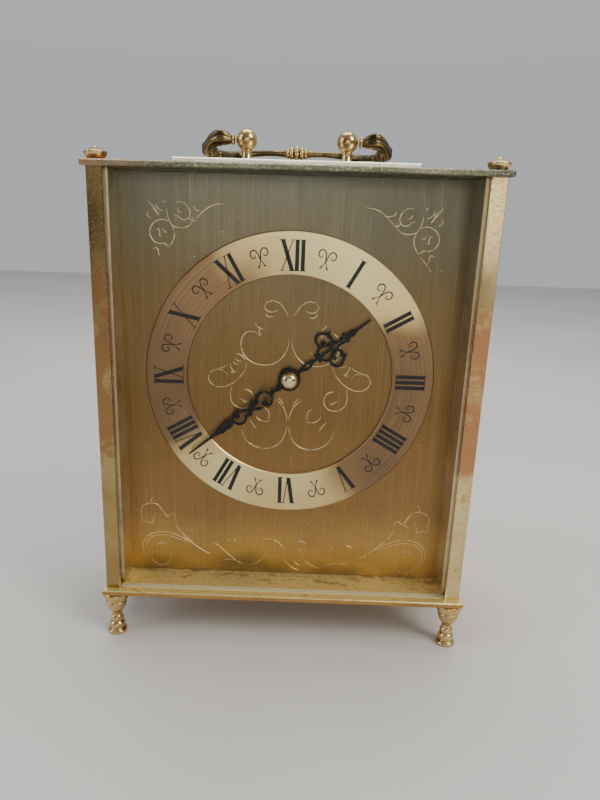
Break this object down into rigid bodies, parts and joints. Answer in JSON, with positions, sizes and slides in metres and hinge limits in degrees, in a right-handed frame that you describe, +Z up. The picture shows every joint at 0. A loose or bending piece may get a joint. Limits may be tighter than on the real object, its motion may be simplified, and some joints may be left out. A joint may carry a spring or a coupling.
{
  "type": "mantel clock",
  "caption": "Brass mantel clock with corner pillars, turned feet, folding carrying handle, glazed front, raised chapter ring, scroll hands, hinged back door and battery movement.",
  "frame": {"origin": "on the table, under the middle of the case", "axes": "+X to the right as one faces the dial, +Y to the back, +Z up"},
  "size_m": [0.1366, 0.064, 0.1863],
  "materials": {
    "base_brass": "polished, lacquer blotched",
    "top_brass": "polished, tarnished and speckled",
    "cover_brass": "pale brushed satin",
    "pillar_brass": "polished, worn and speckled",
    "turned_brass": "turned and polished, tarnished in the grooves",
    "handle_brass": "cast, darkened with age",
    "panel_brass": "brushed satin sheet",
    "rail_brass": "satin",
    "dial_brass": "vertically brushed satin",
    "ring_brass": "circular brushed satin",
    "cap_brass": "polished dome",
    "hand_black": "gloss black lacquer",
    "glass": "clear, polished",
    "case_plastic": "moulded, fine grain",
    "bridge_plastic": "moulded",
    "wheel_plastic": "moulded acetal",
    "gasket_rubber": "soft",
    "battery_jacket": "printed steel jacket with bare steel ends",
    "contact_steel": "nickel plated",
    "nut_steel": "nickel plated",
    "arbor_steel": "turned",
    "magnet": "sintered",
    "copper": "enamelled copper wire",
    "board": "solder resist",
    "chip": "potting resin and crystal can"
  },
  "bodies": {
    "case": {"base_plate": "base_brass", "top_plate": "top_brass", "handle_plate": "cover_brass", "front_glass": "glass", "handle_post_nuts": "nut_steel", "door_stop": "panel_brass", "door_magnet": "magnet", "dial_plate": "dial_brass", "dial_screws": "nut_steel", "chapter_ring": "ring_brass", "movement_case_front": "case_plastic", "movement_case_back": "case_plastic", "movement_gasket": "gasket_rubber", "movement_nuts": "nut_steel", "battery_contacts": "contact_steel", "coil_bobbin": "wheel_plastic", "coil_winding": "copper", "stator": "arbor_steel", "circuit_board": "board", "crystal_and_chip": "chip", "train_bridge": "bridge_plastic", "bridge_screws": "nut_steel", "pillar_front_left": "pillar_brass", "foot_front_left": "turned_brass", "finial_front_left": "turned_brass", "pillar_front_right": "pillar_brass", "foot_front_right": "turned_brass", "finial_front_right": "turned_brass", "pillar_back_left": "pillar_brass", "foot_back_left": "turned_brass", "finial_back_left": "turned_brass", "pillar_back_right": "pillar_brass", "foot_back_right": "turned_brass", "finial_back_right": "turned_brass", "side_panel_left": "panel_brass", "glass_rail_left": "rail_brass", "handle_post_left": "turned_brass", "side_panel_right": "panel_brass", "glass_rail_right": "rail_brass", "handle_post_right": "turned_brass"},
    "handle_bail": {"handle": "handle_brass"},
    "back_door": {"back_door": "panel_brass", "door_hinge_pins": "nut_steel", "door_knob": "turned_brass"},
    "minute_arbor": {"minute_hand": "hand_black", "hand_cap": "cap_brass", "cannon_pinion": "arbor_steel"},
    "hour_pipe": {"hour_hand": "hand_black", "hour_wheel": "wheel_plastic"},
    "motion_wheel": {"motion_wheel": "wheel_plastic"},
    "setting_knob": {"setting_knob": "case_plastic"},
    "centre_wheel": {"centre_wheel": "wheel_plastic"},
    "third_wheel": {"third_wheel": "wheel_plastic"},
    "seconds_wheel": {"seconds_wheel": "wheel_plastic"},
    "idler_wheel": {"idler_wheel": "wheel_plastic"},
    "rotor": {"rotor": "magnet"},
    "battery": {"battery": "battery_jacket"}
  },
  "joints": [
    {"name": "handle_swing", "type": "hinge", "parent": "case", "child": "handle_bail", "pos_m": [0, 0, 0.1826], "axis": [1, 0, 0], "range_deg": [0, 188]},
    {"name": "door_swing", "type": "hinge", "parent": "case", "child": "back_door", "pos_m": [-0.058, 0.02675, 0.0953], "axis": [0, 0, 1], "range_deg": [0, 110]},
    {"name": "minute_turn", "type": "hinge", "parent": "case", "child": "minute_arbor", "pos_m": [0, 0, 0.1003], "axis": [0, 1, 0], "continuous": true},
    {"name": "hour_turn", "type": "hinge", "parent": "case", "child": "hour_pipe", "pos_m": [0, 0, 0.1003], "axis": [0, 1, 0], "continuous": true},
    {"name": "motion_wheel_turn", "type": "hinge", "parent": "case", "child": "motion_wheel", "pos_m": [-0.00902, 0, 0.10358], "axis": [0, 1, 0], "continuous": true},
    {"name": "setting_knob_turn", "type": "hinge", "parent": "case", "child": "setting_knob", "pos_m": [-0.01689, 0, 0.09808], "axis": [0, 1, 0], "continuous": true},
    {"name": "rotor_turn", "type": "hinge", "parent": "case", "child": "rotor", "pos_m": [-0.01548, 0, 0.11139], "axis": [0, 1, 0], "continuous": true},
    {"name": "idler_wheel_turn", "type": "hinge", "parent": "case", "child": "idler_wheel", "pos_m": [-0.00864, 0, 0.11389], "axis": [0, 1, 0], "continuous": true},
    {"name": "seconds_wheel_turn", "type": "hinge", "parent": "case", "child": "seconds_wheel", "pos_m": [-0.00084, 0, 0.11389], "axis": [0, 1, 0], "continuous": true},
    {"name": "third_wheel_turn", "type": "hinge", "parent": "case", "child": "third_wheel", "pos_m": [0.00741, 0, 0.10912], "axis": [0, 1, 0], "continuous": true},
    {"name": "centre_wheel_turn", "type": "hinge", "parent": "case", "child": "centre_wheel", "pos_m": [0, 0, 0.1003], "axis": [0, 1, 0], "continuous": true},
    {"name": "battery_slide", "type": "slide", "parent": "case", "child": "battery", "axis": [0, 1, 0], "range_m": [0, 0.018]}
  ],
  "couplings": [
    {"joint": "hour_turn", "follows": "minute_turn", "ratio": 0.083333},
    {"joint": "motion_wheel_turn", "follows": "minute_turn", "ratio": -0.33333},
    {"joint": "setting_knob_turn", "follows": "minute_turn", "ratio": 1},
    {"joint": "idler_wheel_turn", "follows": "rotor_turn", "ratio": -0.16667},
    {"joint": "seconds_wheel_turn", "follows": "rotor_turn", "ratio": 0.033333},
    {"joint": "third_wheel_turn", "follows": "rotor_turn", "ratio": -0.0044444},
    {"joint": "centre_wheel_turn", "follows": "rotor_turn", "ratio": 0.00055556}
  ]
}
